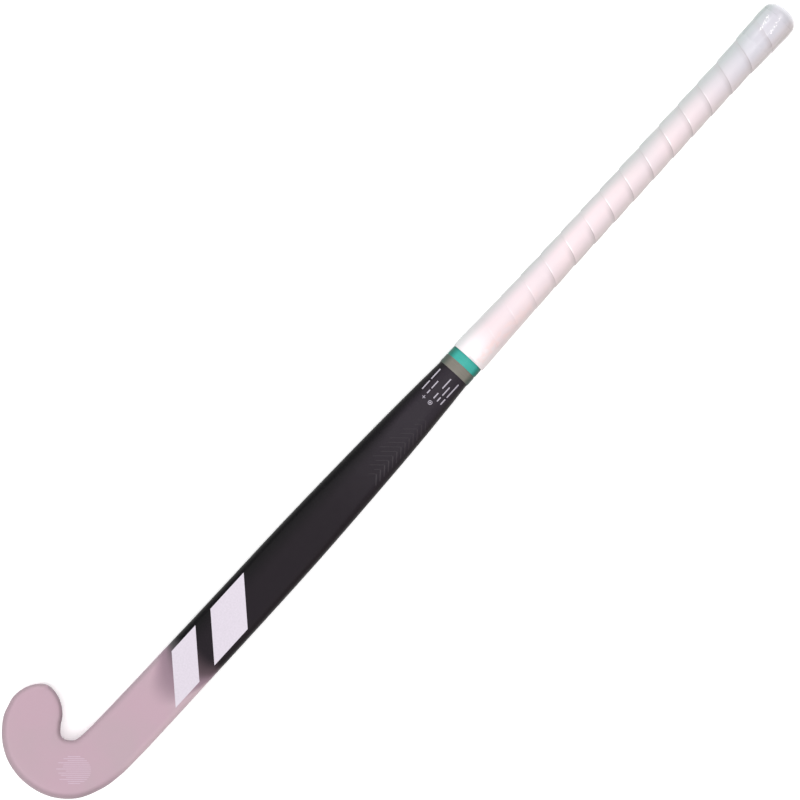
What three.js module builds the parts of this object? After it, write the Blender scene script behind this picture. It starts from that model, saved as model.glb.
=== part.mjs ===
// Field hockey stick: a hollow composite stick with its cores, butt cap, tapes and wound grip.
//
// Units are millimetres. Every piece is shaped on a straight stick first: x runs from the heel of the head
// to the butt, y points to the toe side, and z is height above the flat playing face, so the stick lies below
// z = 0. The bow then bends all of them together. At the end the group is tilted to the way that the finished
// stick lies on its rounded back, with its origin under the middle of its bounding box.

import * as THREE from 'three';

// ---- driving dimensions -------------------------------------------------------------------------------

const STICK_LENGTH = 927; // a 36.5 inch adult stick
const GAP = 0.3; // glue line or clearance between neighbours

const BOW_START = 110; // the face is flat up to here
const BOW_END = 410; // the handle is straight from here on
const BOW_ANGLE = THREE.MathUtils.degToRad(8.4); // gives a bow of about 22 mm

const HEAD_WALL = 3.2; // laminate thickness in the head
const SHAFT_WALL = 2.3; // laminate thickness in the shaft and handle
const WALL_CHANGE = [110, 150]; // where one becomes the other

const FACE_CORNER = 5.5; // how far the rounded edge reaches into the flat face
const SMALLEST_CORNER = 0.8; // what is left of that edge on the innermost surfaces
const SHOULDER = 8; // depth of the widest line below the face
const BACK_POWER = 2.25; // fullness of the rounded back, 2 is an ellipse

const SHELL_END = 908; // open end of the hollow handle
const CORE_SPLIT = 108; // the head core ends here and the shaft cores begin
const CORE_GAP = 1; // free space between the head core and the shaft cores
const CORE_END = 880;

const RIB_THICKNESS = 1.2;
const PLY_THICKNESS = 1;
const PLY_POINTS = 6; // how far it reaches round the edge, in points of a ring
const PLY_ENDS_IN = 3; // it ends this many cuts in from the head core's ends

const PLUG_START = 884;
const PLUG_END = 907;
const PLUG_CHAMFER = 2;

const TAPE_THICKNESS = 0.4;
const COLLAR_TAPE = [506, 514.4];
const FINISHING_TAPE = [514.9, 523.6];

const WRAP_START = 524.5;
const WRAP_END = 920.5;
const WRAP_THICKNESS = 1.6;
const WRAP_EDGE = 0.7; // how much thinner the wrap is at its two ends

const CAP_SKIRT_START = 884; // the cap's skirt slips over the shell from here
const CAP_FLOOR = 908.5; // inside of the cap's end wall
const CAP_DOME_START = 921; // the part of the cap that the wrap leaves open
const CAP_FLAT_RADIUS = 8.5; // flat disc in the middle of the butt
const SHAFT_SPACING = 20; // between cuts of the shaft
const NECK_END = 610; // from here on the handle hardly changes
const HANDLE_PLACES = [650, 780]; // cuts of the rest of the handle
const WAIST_PLACES = [535, 550, 560, 572, 586, 605, 630, 665, 700, 850, 862, 874]; // where the grip is cut
const FLARE_PLACES = [892, 900, 906, 911, 916]; // where the flared butt is cut

const HEAD_STEPS = 27;
const TOE_STEPS = 6;
const CORNER_STEPS = 3;
const BACK_STEPS = 12;
const OVAL_STEPS = 24;
const DOME_STEPS = 4;
const HALVINGS = 40; // steps of the search for the place on a curve where x has a value

// The tilt of the stick when it lies on its back: it rests on the back of the hook, the bow and the lower end
// of the grip.
const REST_ROLL = THREE.MathUtils.degToRad(-14);
const REST_PITCH = THREE.MathUtils.degToRad(5.8);

// Cuts of the head, from the middle of the toe round the hook: where each cut meets the outside edge (x, y),
// where it meets the toe's inner edge or the throat (x, y), and its depth from face to back.
const HEAD_CUTS = [
  [47.0, 90.8, 57.8, 47.2, 20.5],
  [30.3, 86.8, 54.0, 42.3, 21.2],
  [14.4, 74.6, 51.4, 39.2, 22.2],
  [3.7, 57.9, 50.3, 37.2, 23.3],
  [-0.3, 36.0, 50.2, 35.6, 24.2],
  [5.0, 11.4, 50.9, 33.4, 25.0],
  [19.7, -7.3, 52.6, 30.6, 25.0],
  [41.0, -17.8, 56.0, 27.7, 25.0],
  [60.0, -21.5, 65.0, 26.0, 24.7],
  [85.0, -22.7, 85.0, 25.0, 24.3],
];

// Cuts of the shaft and handle: x, y of the middle, half width, depth, and roundness (0 is a D with a flat
// face, 1 is an oval).
const SHAFT_CUTS = [
  [110, 0.6, 23.7, 24.0, 0],
  [160, 0, 23.2, 23.0, 0],
  [240, -0.5, 22.9, 22.0, 0],
  [310, -0.5, 22.4, 21.5, 0],
  [380, -0.4, 20.7, 21.5, 0.15],
  [440, -0.3, 18.6, 22.5, 0.4],
  [480, -0.1, 16.6, 24.0, 0.75],
  [505, 0, 15.1, 25.0, 0.95],
  [524, 0, 14.7, 25.5, 1],
  [560, 0, 13.5, 26.0, 1],
  [600, 0, 12.4, 26.2, 1],
  [650, 0, 11.9, 26.2, 1],
  [780, 0, 11.9, 26.2, 1],
  [SHELL_END, 0, 11.9, 26.2, 1],
];

// Outside of the wound handle: x, half width, half depth.
const GRIP_CUTS = [
  [WRAP_START, 16.3, 16.8],
  [532, 16.3, 16.8],
  [550, 15.7, 16.3],
  [570, 15.1, 15.9],
  [595, 14.5, 15.5],
  [630, 14.0, 15.1],
  [700, 13.8, 15.1],
  [850, 13.8, 15.1],
  [870, 14.2, 15.4],
  [884, 15.1, 16.2],
  [900, 15.9, 17.0],
  [911, 16.4, 17.4],
  [919, 15.8, 16.8],
  [924, 13.9, 14.9],
];

// ---- the straight stick: plan, sections and bow -------------------------------------------------------

const mix = THREE.MathUtils.lerp;

function curveThrough(rows, smoothing) {
  return new THREE.CatmullRomCurve3(rows.map((row) => new THREE.Vector3(...row)), false, smoothing);
}

const outerEdge = curveThrough([
  ...HEAD_CUTS.map(([outerX, outerY]) => [outerX, outerY, 0]),
  ...SHAFT_CUTS.map(([x, y, half]) => [x, y - half, 0]),
], 'centripetal');
const innerEdge = curveThrough([
  ...HEAD_CUTS.map(([, , innerX, innerY]) => [innerX, innerY, 0]),
  ...SHAFT_CUTS.map(([x, y, half]) => [x, y + half, 0]),
], 'centripetal');
const sectionCurve = curveThrough([
  ...HEAD_CUTS.map(([, , , , depth]) => [depth, 0, 0]),
  ...SHAFT_CUTS.map(([, , , depth, roundness]) => [depth, roundness, 0]),
], 'catmullrom');
const gripCurve = curveThrough(GRIP_CUTS, 'centripetal');

// The cut at a share of the way along the stick, or past the toe's middle by beyond.
function cutAt(share, beyond = 0) {
  const outer = outerEdge.getPoint(share);
  const inner = innerEdge.getPoint(share);
  const across = inner.clone().sub(outer);
  const section = sectionCurve.getPoint(share);
  return {
    x: (outer.x + inner.x) / 2,
    y: (outer.y + inner.y) / 2,
    along: new THREE.Vector2(across.y, -across.x).normalize(),
    halfWidth: across.length() / 2,
    depth: section.x,
    roundness: THREE.MathUtils.clamp(section.y, 0, 1),
    beyond,
  };
}

// How far along a curve its x reaches a value. From share start on, x has to grow all the way.
function shareAtX(curve, x, start) {
  let low = start;
  let high = 1;
  for (let step = 0; step < HALVINGS; step += 1) {
    const middle = (low + high) / 2;
    if (curve.getPoint(middle).x < x) {
      low = middle;
    } else {
      high = middle;
    }
  }
  return high;
}

function shaftShare(x) {
  return shareAtX(outerEdge, x, HEAD_CUTS.length / (HEAD_CUTS.length + SHAFT_CUTS.length - 1));
}

function evenSteps(from, to, steps) {
  return Array.from({ length: steps + 1 }, (_, i) => mix(from, to, i / steps));
}

// Cuts of the head, from the toe's middle to x, and cuts of the shaft and handle at each of a list of x.
function headCuts(endX) {
  return evenSteps(0, shaftShare(endX), HEAD_STEPS).map((share) => cutAt(share));
}

function shaftCuts(places) {
  return places.map((x) => cutAt(shaftShare(x)));
}

// The shell and what fills it are cut at the same places, so that their surfaces run side by side.
const SHAFT_PLACES = [
  ...evenSteps(BOW_START + SHAFT_SPACING, NECK_END, (NECK_END - BOW_START) / SHAFT_SPACING - 1),
  ...HANDLE_PLACES,
];

function wallAt(x) {
  const share = THREE.MathUtils.smoothstep(x, WALL_CHANGE[0], WALL_CHANGE[1]);
  return mix(HEAD_WALL, SHAFT_WALL, share);
}

// Shape of the cut after moving its outline in by inset. Heights are counted down from the playing face.
function sectionShape(cut, inset) {
  const half = cut.halfWidth;
  return {
    half: half - inset,
    corner: Math.max(mix(FACE_CORNER, half, cut.roundness) - inset, SMALLEST_CORNER),
    top: -inset,
    shoulder: -mix(SHOULDER, cut.depth / 2, cut.roundness),
    bottom: -(cut.depth - inset),
    power: mix(BACK_POWER, 2, cut.roundness),
  };
}

// Height of the face side and of the back side at a distance r from the middle.
function faceHeight(shape, r) {
  const flat = shape.half - shape.corner;
  const reach = THREE.MathUtils.clamp((r - flat) / shape.corner, 0, 1);
  return shape.shoulder + (shape.top - shape.shoulder) * Math.sqrt(1 - reach * reach);
}

function backHeight(shape, r) {
  const reach = Math.min(r / shape.half, 1);
  return shape.shoulder + (shape.bottom - shape.shoulder) * (1 - reach ** shape.power) ** (1 / shape.power);
}

// Bends the straight stick into its bow.
function bow(x, y, z) {
  const radius = (BOW_END - BOW_START) / BOW_ANGLE;
  const turned = THREE.MathUtils.clamp((x - BOW_START) / radius, 0, BOW_ANGLE);
  const past = Math.max(x - BOW_END, 0);
  const start = Math.min(x, BOW_START);
  return new THREE.Vector3(
    start + (radius - z) * Math.sin(turned) + past * Math.cos(turned),
    y,
    radius * (1 - Math.cos(turned)) + past * Math.sin(turned) + z * Math.cos(turned),
  );
}

// A point of a cut, q to the left of the direction of travel, which is towards the toe side or the throat.
function place(cut, q, z) {
  const x = cut.x - cut.along.y * q - cut.along.x * cut.beyond;
  const y = cut.y + cut.along.x * q - cut.along.y * cut.beyond;
  return bow(x, y, z);
}

// ---- rings --------------------------------------------------------------------------------------------

// Where a ring has its points: [share of the half width, is on the face side].
function ringSides(shape) {
  const sides = [];
  for (let i = 0; i <= CORNER_STEPS; i += 1) {
    const angle = (i / CORNER_STEPS) * (Math.PI / 2);
    sides.push([1 - (shape.corner / shape.half) * (1 - Math.cos(angle)), true]);
  }
  sides.push([0, true]);
  const mirrored = sides.slice(0, CORNER_STEPS + 1).reverse();
  mirrored.forEach(([share]) => sides.push([-share, true]));
  for (let i = 1; i < BACK_STEPS; i += 1) {
    const angle = (i / BACK_STEPS) * Math.PI;
    const share = Math.abs(Math.cos(angle)) ** (2 / shape.power);
    sides.push([-Math.sign(Math.cos(angle)) * share, false]);
  }
  return sides;
}

function ring(cut, inset) {
  const shape = sectionShape(cut, inset);
  const reach = Math.sqrt(Math.max(shape.half ** 2 - cut.beyond ** 2, 0));
  return ringSides(shape).map(([share, onFace]) => {
    const q = share * reach;
    const r = Math.hypot(q, cut.beyond);
    return place(cut, q, onFace ? faceHeight(shape, r) : backHeight(shape, r));
  });
}

// The toe is the head's own section turned about the toe's middle, cut into rings from the tip inwards.
function toeRings(inset) {
  const { half } = sectionShape(cutAt(0), inset);
  const angles = evenSteps(Math.PI / 2, 0, TOE_STEPS).slice(1, -1);
  return angles.map((angle) => ring(cutAt(0, half * Math.sin(angle)), inset));
}

function toeTip(inset) {
  const shape = sectionShape(cutAt(0), inset);
  return place(cutAt(0, shape.half), 0, shape.shoulder);
}

// ---- surfaces -----------------------------------------------------------------------------------------

function volumeOf(points, faces) {
  let volume = 0;
  const normal = new THREE.Vector3();
  faces.forEach(([a, b, c]) => {
    volume += points[a].dot(normal.crossVectors(points[b], points[c])) / 6;
  });
  return volume;
}

function toGeometry(points, faces) {
  const outward = volumeOf(points, faces) > 0;
  const index = faces.flatMap(([a, b, c]) => (outward ? [a, b, c] : [a, c, b]));
  const geometry = new THREE.BufferGeometry().setFromPoints(points);
  geometry.setIndex(index);
  geometry.computeVertexNormals();
  return geometry;
}

function joinRings(faces, first, second, count) {
  for (let i = 0; i < count; i += 1) {
    const j = (i + 1) % count;
    faces.push([first + i, first + j, second + j], [first + i, second + j, second + i]);
  }
}

// A closed body through rings with a point at each end.
function bodyThroughRings(rings, startPoint, endPoint) {
  const count = rings[0].length;
  const points = [startPoint, ...rings.flat(), endPoint];
  const last = points.length - 1;
  const faces = [];
  for (let i = 0; i < count; i += 1) {
    const j = (i + 1) % count;
    faces.push([0, 1 + j, 1 + i], [last, last - count + i, last - count + j]);
  }
  for (let k = 0; k + 1 < rings.length; k += 1) {
    joinRings(faces, 1 + k * count, 1 + (k + 1) * count, count);
  }
  return toGeometry(points, faces);
}

// A sleeve: the rings go out along its outside and come back along its inside.
function sleeveThroughRings(outer, inner) {
  const rings = [...outer, ...inner.slice().reverse()];
  const count = rings[0].length;
  const faces = [];
  for (let k = 0; k < rings.length; k += 1) {
    joinRings(faces, k * count, ((k + 1) % rings.length) * count, count);
  }
  return toGeometry(rings.flat(), faces);
}

function middleOf(points) {
  const sum = new THREE.Vector3();
  points.forEach((point) => sum.add(point));
  return sum.divideScalar(points.length);
}

// A solid with a flat end on each side.
function solidThroughRings(rings) {
  return bodyThroughRings(rings, middleOf(rings[0]), middleOf(rings[rings.length - 1]));
}

// ---- the pieces ---------------------------------------------------------------------------------------

function shellGeometry() {
  const cuts = [...headCuts(BOW_START), ...shaftCuts([...SHAFT_PLACES, SHELL_END])];
  const outer = [...toeRings(0), ...cuts.map((cut) => ring(cut, 0))];
  const inner = [...toeRings(HEAD_WALL), ...cuts.map((cut) => ring(cut, wallAt(cut.x)))];
  return bodyThroughRings([...outer, ...inner.reverse()], toeTip(0), toeTip(HEAD_WALL));
}

function headCoreGeometry() {
  const inset = HEAD_WALL + GAP + PLY_THICKNESS + GAP;
  const rings = [...toeRings(inset), ...headCuts(CORE_SPLIT).map((cut) => ring(cut, inset))];
  return bodyThroughRings(rings, toeTip(inset), middleOf(rings[rings.length - 1]));
}

// The ply lines the outside bend of the head, from past the toe round to the start of the shaft.
function plyRing(cut) {
  const firstPoint = 2 * CORNER_STEPS + 1;
  const ringAt = (inset) => ring(cut, inset).slice(firstPoint, firstPoint + PLY_POINTS);
  const outside = ringAt(HEAD_WALL + GAP);
  const inside = ringAt(HEAD_WALL + GAP + PLY_THICKNESS);
  return [...outside, ...inside.reverse()];
}

function heelPlyGeometry() {
  const rings = headCuts(CORE_SPLIT).slice(PLY_ENDS_IN, -PLY_ENDS_IN).map(plyRing);
  const count = rings[0].length;
  const faces = [];
  for (let k = 0; k + 1 < rings.length; k += 1) {
    joinRings(faces, k * count, (k + 1) * count, count);
  }
  const lastRing = (rings.length - 1) * count;
  for (let i = 0; i + 1 < PLY_POINTS; i += 1) {
    const across = count - 1 - i;
    faces.push([i, across, i + 1], [i + 1, across, across - 1]);
    const [a, b, c, d] = [i, i + 1, across, across - 1].map((index) => lastRing + index);
    faces.push([a, b, c], [b, d, c]);
  }
  return toGeometry(rings.flat(), faces);
}

// Half of the shaft's hollow, on the toe side (1) or the heel side (-1) of the rib.
function halfRing(cut, inset, side) {
  const shape = sectionShape(cut, inset);
  const inside = RIB_THICKNESS / 2 + GAP;
  const pointAt = (r, onFace) => place(cut, side * r, onFace ? faceHeight(shape, r) : backHeight(shape, r));
  const outsidePoint = ([share, onFace]) => pointAt(Math.max(share * shape.half, inside + GAP), onFace);
  const sides = ringSides(shape);
  const faceSide = sides.slice(0, CORNER_STEPS + 1).map(outsidePoint);
  const backSide = sides.slice(1 - BACK_STEPS / 2).map(outsidePoint);
  return [...faceSide, pointAt(inside, true), pointAt(inside, false), ...backSide];
}

function coreCuts() {
  return shaftCuts([CORE_SPLIT + CORE_GAP, ...SHAFT_PLACES, CORE_END]);
}

function shaftCoreGeometry(side) {
  return solidThroughRings(coreCuts().map((cut) => halfRing(cut, wallAt(cut.x) + GAP, side)));
}

function centreRibGeometry() {
  const rings = coreCuts().map((cut) => {
    const shape = sectionShape(cut, wallAt(cut.x) + GAP);
    const half = RIB_THICKNESS / 2;
    const high = faceHeight(shape, half);
    const low = backHeight(shape, half);
    return [place(cut, half, high), place(cut, -half, high), place(cut, -half, low), place(cut, half, low)];
  });
  return solidThroughRings(rings);
}

function plugGeometry() {
  const inset = SHAFT_WALL + GAP;
  const [nose, shoulder, end] = shaftCuts([PLUG_START, PLUG_START + PLUG_CHAMFER, PLUG_END]);
  return solidThroughRings([ring(nose, inset + PLUG_CHAMFER), ring(shoulder, inset), ring(end, inset)]);
}

function tapeGeometry([from, to]) {
  const cuts = shaftCuts([from, (from + to) / 2, to]);
  const outer = cuts.map((cut) => ring(cut, -GAP - TAPE_THICKNESS));
  const inner = cuts.map((cut) => ring(cut, -GAP));
  return sleeveThroughRings(outer, inner);
}

// ---- grip and cap: ovals around the handle's middle line ----------------------------------------------

function gripSize(x) {
  const cut = gripCurve.getPoint(shareAtX(gripCurve, x, 0));
  return { wide: cut.y, deep: cut.z };
}

function handleSize(x) {
  const [cut] = shaftCuts([Math.min(x, SHELL_END)]);
  return { wide: cut.halfWidth, deep: cut.depth / 2 };
}

// An oval around the handle at x. The handle's middle line lies half its depth below the face line.
function oval(x, wide, deep) {
  const middle = -handleSize(x).deep;
  return evenSteps(0, 2 * Math.PI, OVAL_STEPS)
    .slice(1)
    .map((angle) => bow(x, wide * Math.cos(angle), middle + deep * Math.sin(angle)));
}

function movedOval(size, x, outset) {
  return oval(x, size.wide + outset, size.deep + outset);
}

function wrapGeometry() {
  const start = [WRAP_START, WRAP_START + WRAP_EDGE];
  const places = [...start, ...WAIST_PLACES, CAP_SKIRT_START, ...FLARE_PLACES, WRAP_END];
  const isEnd = (x) => x === WRAP_START || x === WRAP_END;
  const outer = places.map((x) => movedOval(gripSize(x), x, isEnd(x) ? -WRAP_EDGE : 0));
  const onShell = (x) => movedOval(handleSize(x), x, GAP);
  const onCap = (x) => movedOval(gripSize(x), x, -WRAP_THICKNESS);
  const inner = places.map((x) => (x < CAP_SKIRT_START ? onShell(x) : onCap(x)));
  return sleeveThroughRings(outer, inner);
}

function capGeometry() {
  const skirtPlaces = [CAP_FLOOR, (CAP_FLOOR + CAP_SKIRT_START) / 2, CAP_SKIRT_START];
  const skirtInside = skirtPlaces.map((x) => movedOval(handleSize(x), x, GAP));
  const outsidePlaces = [CAP_SKIRT_START, ...FLARE_PLACES, WRAP_END, CAP_DOME_START];
  const outside = outsidePlaces.map((x) => movedOval(gripSize(x), x, -WRAP_THICKNESS - GAP));
  const rim = gripSize(CAP_DOME_START);
  const dome = evenSteps(0, Math.PI / 2, DOME_STEPS).map((angle) => {
    const wide = mix(CAP_FLAT_RADIUS, rim.wide, Math.cos(angle));
    const deep = mix(CAP_FLAT_RADIUS, rim.deep, Math.cos(angle));
    return oval(mix(CAP_DOME_START, STICK_LENGTH, Math.sin(angle)), wide, deep);
  });
  const rings = [...skirtInside, ...outside, ...dome];
  return bodyThroughRings(rings, middleOf(skirtInside[0]), middleOf(dome[DOME_STEPS]));
}

// ---- materials and assembly ---------------------------------------------------------------------------

function material(color, roughness, metalness = 0) {
  return new THREE.MeshStandardMaterial({ color, roughness, metalness });
}

const stick = new THREE.Group();

function add(name, geometry, finish) {
  const mesh = new THREE.Mesh(geometry, finish);
  mesh.name = name;
  stick.add(mesh);
}

add('stick_shell', shellGeometry(), material(0xc9aeb9, 0.4));
add('head_core', headCoreGeometry(), material(0xc8b98c, 0.8));
add('heel_ply', heelPlyGeometry(), material(0xd8b43c, 0.7));
add('shaft_core_toe_side', shaftCoreGeometry(1), material(0xe6dfc4, 0.9));
add('shaft_core_heel_side', shaftCoreGeometry(-1), material(0xe6dfc4, 0.9));
add('centre_rib', centreRibGeometry(), material(0x2b2b2d, 0.5));
add('butt_plug', plugGeometry(), material(0x3a3a3c, 0.8));
add('butt_cap', capGeometry(), material(0xe4e3e8, 0.35));
add('collar_tape', tapeGeometry(COLLAR_TAPE), material(0x8f8b83, 0.45));
add('finishing_tape', tapeGeometry(FINISHING_TAPE), material(0x56b8af, 0.45));
add('grip_wrap', wrapGeometry(), material(0xf6eef0, 0.6));

stick.rotation.set(REST_ROLL, REST_PITCH, 0);
stick.updateMatrixWorld(true);
const bounds = new THREE.Box3().setFromObject(stick, true);
const centre = bounds.getCenter(new THREE.Vector3());
stick.position.set(-centre.x, -centre.y, -bounds.min.z);

export default stick;
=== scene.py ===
import math

import bmesh
import bpy
import numpy as np
from mathutils import Matrix, Vector


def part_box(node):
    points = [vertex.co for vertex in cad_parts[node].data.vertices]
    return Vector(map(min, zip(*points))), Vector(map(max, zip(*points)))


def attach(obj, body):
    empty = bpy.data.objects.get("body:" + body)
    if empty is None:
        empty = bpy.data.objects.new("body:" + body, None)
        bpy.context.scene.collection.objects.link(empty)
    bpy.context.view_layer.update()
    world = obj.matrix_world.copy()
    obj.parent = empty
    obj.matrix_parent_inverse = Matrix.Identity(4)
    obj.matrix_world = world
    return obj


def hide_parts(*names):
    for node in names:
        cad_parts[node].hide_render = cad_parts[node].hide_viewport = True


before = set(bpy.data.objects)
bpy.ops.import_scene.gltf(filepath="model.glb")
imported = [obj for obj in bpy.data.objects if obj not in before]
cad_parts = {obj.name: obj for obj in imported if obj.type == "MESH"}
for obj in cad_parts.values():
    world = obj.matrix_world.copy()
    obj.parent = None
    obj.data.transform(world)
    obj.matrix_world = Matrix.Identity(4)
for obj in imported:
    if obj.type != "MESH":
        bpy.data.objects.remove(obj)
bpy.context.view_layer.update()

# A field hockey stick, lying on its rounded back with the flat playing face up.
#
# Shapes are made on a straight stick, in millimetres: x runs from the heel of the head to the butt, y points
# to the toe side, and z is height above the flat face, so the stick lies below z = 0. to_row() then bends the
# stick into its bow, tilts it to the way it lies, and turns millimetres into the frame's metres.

MM = 0.001
TURN = 2 * math.pi

# ---- sizes ----
#
# They follow the CAD model's. The outline of the hook, the two bands, the start of the wrap and the head's
# wall differ from it by up to about 2 mm.

STICK_LENGTH = 927
BOW_START = 110
BOW_END = 410
BOW_ANGLE = math.radians(8.4)
REST_ROLL = math.radians(-14)
REST_PITCH = math.radians(5.8)

HEAD_WALL = 2.2
SHAFT_WALL = 2.3
WALL_CHANGE = (110, 150)
FACE_CORNER = 5.5  # radius between the flat face and the sides
SMALLEST_CORNER = 0.8
SHOULDER = 8  # how far below the face the sides are widest
BACK_POWER = 2.25  # the back's curve: 2 is an ellipse, more is squarer
SHELL_END = 908

# Cuts of the head, from the middle of the toe round the hook: where each cut meets the outside edge (x, y),
# where it meets the toe's inner edge or the throat (x, y), and its depth from face to back.
HEAD_CUTS = [
    (42.6, 89.5, 58.3, 45.4, 20.6),
    (30.0, 85.4, 54.6, 42.6, 21.2),
    (15.0, 73.6, 51.7, 40.0, 22.2),
    (4.5, 57.3, 50.3, 37.6, 23.3),
    (0.4, 36.0, 50.1, 35.5, 24.2),
    (5.5, 11.7, 50.7, 33.2, 25.0),
    (19.9, -7.1, 52.5, 30.4, 25.0),
    (41.1, -17.7, 55.9, 27.1, 25.0),
    (60.0, -21.5, 64.9, 25.3, 24.7),
    (85.0, -22.7, 85.0, 24.4, 24.3),
]
TOE_POWER = 1.7  # the toe's end is a half oval of this power, 2 being an ellipse,
TOE_STRETCH = 1.09  # and this many times as long as it is half wide

# Cuts of the shaft and handle: x, y of the middle, half width, depth, and roundness (0 is a D with a flat
# face, 1 is an oval).
SHAFT_CUTS = [
    (110, 0.4, 23.5, 24.0, 0),
    (160, 0, 23.2, 23.0, 0),
    (240, -0.5, 22.9, 22.0, 0),
    (310, -0.5, 22.4, 21.5, 0),
    (380, -0.4, 20.7, 21.5, 0.15),
    (440, -0.3, 18.6, 22.5, 0.4),
    (480, -0.1, 16.6, 24.0, 0.75),
    (505, 0, 15.1, 25.0, 0.95),
    (524, 0, 14.7, 25.5, 1),
    (560, 0, 13.5, 26.0, 1),
    (600, 0, 12.4, 26.2, 1),
    (650, 0, 11.9, 26.2, 1),
    (780, 0, 11.9, 26.2, 1),
    (SHELL_END, 0, 11.9, 26.2, 1),
]

# Outside of the wound handle: x, half width, half depth.
WRAP_START = 522.2
WRAP_END = 916.45
GRIP_CUTS = [
    (WRAP_START, 16.3, 16.8),
    (532, 16.3, 16.8),
    (550, 15.7, 16.3),
    (570, 15.1, 15.9),
    (595, 14.5, 15.5),
    (630, 14.0, 15.1),
    (700, 13.8, 15.1),
    (850, 13.8, 15.1),
    (870, 14.2, 15.4),
    (884, 15.1, 16.2),
    (900, 15.9, 17.0),
    (909, 16.4, 17.4),
    (916.5, 16.0, 17.0),
    (924, 14.0, 15.0),
]

COLLAR_TAPE = (504.3, 513.4)
FINISHING_TAPE = (513.45, 522.5)
TAPE_HEIGHT = 0.6  # how far the tapes stand above the laminate
CAP_SKIRT_START = 884
CAP_FLOOR = 908.5
CAP_DOME_START = 916.5
CAP_FLAT_RADIUS = 3.6
WRAP_THICKNESS = 1.6
GAP = 0.3

# ---- curves through the cuts ----

SPAN_SAMPLES = 80
SMALLEST_STEP = 1e-8


def uneven_slopes(before, start, end, after):
    """Slopes at start and end of a centripetal Catmull-Rom span, for rows that are not evenly spaced."""
    steps = (start - before, end - start, after - end)
    gap_in, gap, gap_out = (max(np.sum(step**2), SMALLEST_STEP) ** 0.25 for step in steps)
    leave = (start - before) / gap_in - (end - before) / (gap_in + gap) + (end - start) / gap
    arrive = (end - start) / gap - (after - start) / (gap + gap_out) + (after - end) / gap_out
    return leave * gap, arrive * gap


def curve_through(rows, even):
    """Catmull-Rom curve through rows, sampled densely. Returns (share of the way along, values)."""
    rows = np.array(rows, float)
    padded = np.vstack([2 * rows[0] - rows[1], rows, 2 * rows[-1] - rows[-2]])
    t = np.linspace(0, 1, SPAN_SAMPLES, endpoint=False)[:, None]
    pieces = []
    for before, start, end, after in zip(padded, padded[1:], padded[2:], padded[3:]):
        if even:
            leave = (end - before) / 2
            arrive = (after - start) / 2
        else:
            leave, arrive = uneven_slopes(before, start, end, after)
        pieces.append(
            (2 * t**3 - 3 * t**2 + 1) * start
            + (t**3 - 2 * t**2 + t) * leave
            + (3 * t**2 - 2 * t**3) * end
            + (t**3 - t**2) * arrive
        )
    values = np.vstack([*pieces, rows[-1:]])
    return np.linspace(0, 1, len(values)), values


OUTER_EDGE = [row[:2] for row in HEAD_CUTS] + [(x, y - half) for x, y, half, _, _ in SHAFT_CUTS]
INNER_EDGE = [row[2:4] for row in HEAD_CUTS] + [(x, y + half) for x, y, half, _, _ in SHAFT_CUTS]
SECTION_ROWS = [(row[4], 0) for row in HEAD_CUTS] + [row[3:] for row in SHAFT_CUTS]
SHARES, OUTER = curve_through(OUTER_EDGE, even=False)
_, INNER = curve_through(INNER_EDGE, even=False)
_, SECTIONS = curve_through(SECTION_ROWS, even=True)
_, GRIP = curve_through(GRIP_CUTS, even=False)
SHAFT_SAMPLE = len(HEAD_CUTS) * SPAN_SAMPLES


def sampled(shares, table):
    return np.stack([np.interp(shares, SHARES, column) for column in table.T], axis=-1)


def shaft_share(x):
    """The share of the way along at x, on the shaft or handle."""
    return np.interp(x, (OUTER[SHAFT_SAMPLE:, 0] + INNER[SHAFT_SAMPLE:, 0]) / 2, SHARES[SHAFT_SAMPLE:])


class Cuts:
    """Cuts through the stick at an array of shares, moved past the toe's middle by beyond."""

    def __init__(self, shares, beyond=0.0):
        shares = np.asarray(shares, float)
        outer = sampled(shares, OUTER)
        inner = sampled(shares, INNER)
        width = np.linalg.norm(inner - outer, axis=1)
        across = (inner - outer) / width[:, None]
        self.along = np.stack([across[:, 1], -across[:, 0]], axis=1)
        self.middle = (outer + inner) / 2
        self.half = width / 2
        section = sampled(shares, SECTIONS)
        self.depth = section[:, 0]
        self.roundness = np.clip(section[:, 1], 0, 1)
        self.beyond = np.broadcast_to(np.asarray(beyond, float), shares.shape)


def mix(a, b, share):
    return a + (b - a) * share


def smoothstep(x, low, high):
    t = np.clip((x - low) / (high - low), 0, 1)
    return t * t * (3 - 2 * t)


def wall_at(x):
    """Thickness of the laminate at x."""
    return mix(HEAD_WALL, SHAFT_WALL, smoothstep(x, *WALL_CHANGE))


class Shape:
    """Outline of each cut, moved in by inset. Every value has one row per cut."""

    def __init__(self, cuts, inset):
        self.half = cuts.half - inset
        self.corner = np.maximum(mix(FACE_CORNER, cuts.half, cuts.roundness) - inset, SMALLEST_CORNER)
        self.top = -inset * np.ones_like(cuts.half)
        self.shoulder = -mix(SHOULDER, cuts.depth / 2, cuts.roundness)
        self.bottom = -(cuts.depth - inset)
        self.power = mix(BACK_POWER, 2, cuts.roundness)

    def face_height(self, r):
        flat = (self.half - self.corner)[:, None]
        reach = np.clip((r - flat) / self.corner[:, None], 0, 1)
        return self.shoulder[:, None] + (self.top - self.shoulder)[:, None] * np.sqrt(1 - reach**2)

    def back_height(self, r):
        reach = np.minimum(r / self.half[:, None], 1)
        power = self.power[:, None]
        share = (1 - reach**power) ** (1 / power)
        return self.shoulder[:, None] + (self.bottom - self.shoulder)[:, None] * share


# ---- from the straight stick to the row frame ----


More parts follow.
